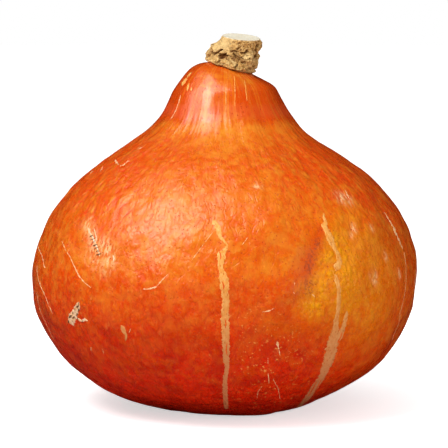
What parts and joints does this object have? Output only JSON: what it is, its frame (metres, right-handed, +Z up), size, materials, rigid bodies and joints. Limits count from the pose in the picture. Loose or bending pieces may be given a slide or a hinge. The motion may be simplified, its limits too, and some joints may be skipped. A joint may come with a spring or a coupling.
{
  "type": "pumpkin",
  "caption": "Onion-shaped orange winter squash with a narrow neck and a short cut corky stem, standing upright on its blossom end.",
  "frame": {"origin": "on the surface that the squash stands on, under the middle of its bounding box", "axes": "+Z up along the core from blossom end to stem, +X to the viewer's right, +Y away from the viewer"},
  "size_m": [0.1704, 0.1669, 0.1638],
  "materials": {
    "skin": "deep orange waxy squash skin, semi-gloss, finely wrinkled and pored",
    "cork": "dry matt tan cork, craggy and cracked, with a pale cut face"
  },
  "bodies": {
    "root": {"fruit": "skin", "stem": "cork"}
  },
  "joints": []
}
